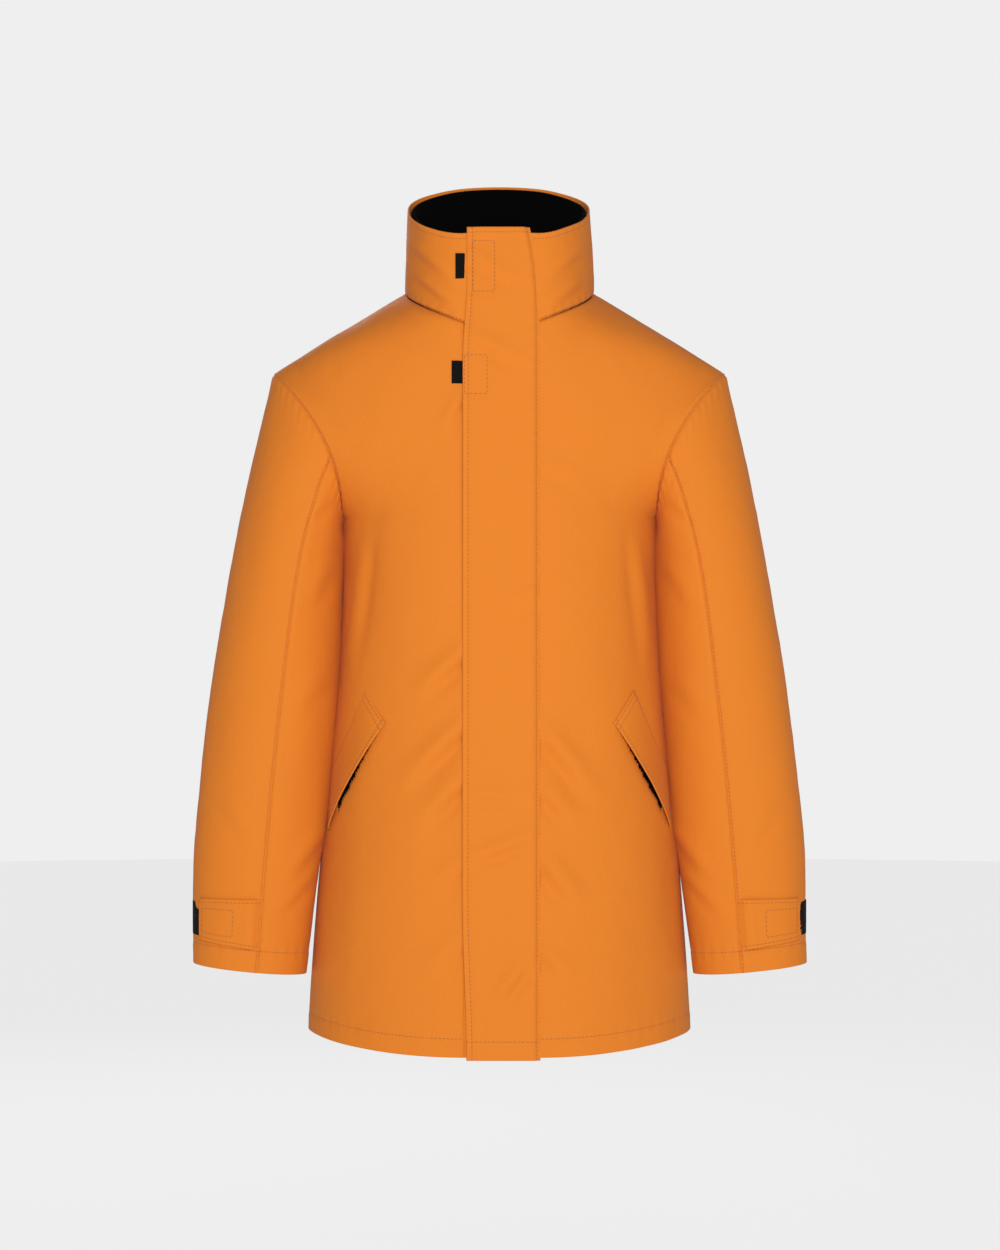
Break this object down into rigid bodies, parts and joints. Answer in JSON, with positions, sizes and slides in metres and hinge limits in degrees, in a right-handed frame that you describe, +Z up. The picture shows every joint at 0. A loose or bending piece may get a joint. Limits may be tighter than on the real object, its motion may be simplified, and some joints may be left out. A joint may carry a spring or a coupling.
{
  "type": "work parka",
  "caption": "Thigh-length stand-collar work parka with zip, full-length storm flap, slanted welt pockets, two-piece sleeves and hook-and-loop cuff tabs.",
  "frame": {"origin": "middle of the neck base, level with the high shoulder points, where the wearer's neck and shoulders carry the coat", "axes": "+Z up along the wearer's spine, -Y to the coat's front, +X to the coat's own left side"},
  "size_m": [0.6806, 0.2896, 0.9669],
  "materials": {
    "shell_orange": "matt woven synthetic shell cloth",
    "quilted_lining": "black quilted lining, low sheen",
    "collar_fleece": "black fleece, matt",
    "tape_black": "black woven tape",
    "hook_and_loop_black": "black hook-and-loop tape",
    "pocketing_black": "black plain pocket cloth",
    "zip_plastic": "black moulded plastic",
    "zip_metal": "black coated metal, satin"
  },
  "bodies": {
    "coat": {"front_panel_left": "shell_orange", "front_lining_left": "quilted_lining", "placket_strip_left": "shell_orange", "pocket_welt_left": "shell_orange", "pocket_bag_left": "pocketing_black", "zip_tape_left": "tape_black", "zip_teeth_left": "zip_plastic", "zip_top_stop_left": "zip_metal", "front_panel_right": "shell_orange", "front_lining_right": "quilted_lining", "placket_strip_right": "shell_orange", "pocket_welt_right": "shell_orange", "pocket_bag_right": "pocketing_black", "zip_tape_right": "tape_black", "zip_teeth_right": "zip_plastic", "zip_top_stop_right": "zip_metal", "back_panel": "shell_orange", "back_lining": "quilted_lining", "collar_outer": "shell_orange", "collar_lining": "collar_fleece", "collar_loop_pad": "hook_and_loop_black", "chest_loop_pad": "hook_and_loop_black", "zip_pin": "zip_metal", "zip_box": "zip_metal"},
    "storm_flap": {"storm_flap": "shell_orange", "collar_hook_pad": "hook_and_loop_black", "chest_hook_pad": "hook_and_loop_black"},
    "zip_slider": {"zip_slider": "zip_metal", "zip_puller": "zip_metal"},
    "hanger_loop": {"hanger_loop": "tape_black"},
    "sleeve_left": {"upper_sleeve_left": "shell_orange", "under_sleeve_left": "shell_orange", "upper_sleeve_lining_left": "quilted_lining", "under_sleeve_lining_left": "quilted_lining", "cuff_loop_strip_left": "hook_and_loop_black"},
    "cuff_tab_left": {"cuff_tab_left": "shell_orange", "cuff_tab_hook_left": "hook_and_loop_black"},
    "sleeve_right": {"upper_sleeve_right": "shell_orange", "under_sleeve_right": "shell_orange", "upper_sleeve_lining_right": "quilted_lining", "under_sleeve_lining_right": "quilted_lining", "cuff_loop_strip_right": "hook_and_loop_black"},
    "cuff_tab_right": {"cuff_tab_right": "shell_orange", "cuff_tab_hook_right": "hook_and_loop_black"}
  },
  "joints": [
    {"name": "storm_flap_opens", "type": "hinge", "parent": "coat", "child": "storm_flap", "pos_m": [0.044, -0.1051, -0.0358], "axis": [0, 0.0585, 0.9983], "range_deg": [0, 170]},
    {"name": "zip_opens", "type": "slide", "parent": "coat", "child": "zip_slider", "axis": [0, -0.0585, -0.9983], "range_m": [0, 0.8]},
    {"name": "sleeve_left_raises", "type": "hinge", "parent": "coat", "child": "sleeve_left", "pos_m": [0.252, 0, -0.091], "axis": [0, -1, 0], "range_deg": [0, 70]},
    {"name": "sleeve_right_raises", "type": "hinge", "parent": "coat", "child": "sleeve_right", "pos_m": [-0.252, 0, -0.091], "axis": [0, 1, 0], "range_deg": [0, 70]},
    {"name": "cuff_tab_left_opens", "type": "hinge", "parent": "sleeve_left", "child": "cuff_tab_left", "pos_m": [0.26291, -0.07785, -0.69915], "axis": [0.0723, 0.0055, -0.9974], "range_deg": [0, 95]},
    {"name": "cuff_tab_right_opens", "type": "hinge", "parent": "sleeve_right", "child": "cuff_tab_right", "pos_m": [-0.26291, -0.07785, -0.69915], "axis": [0.0723, -0.0055, 0.9974], "range_deg": [0, 95]},
    {"name": "hanger_loop_swings", "type": "hinge", "parent": "coat", "child": "hanger_loop", "pos_m": [0, 0.07, 0.026], "axis": [-1, 0, 0], "range_deg": [0, 80]}
  ]
}
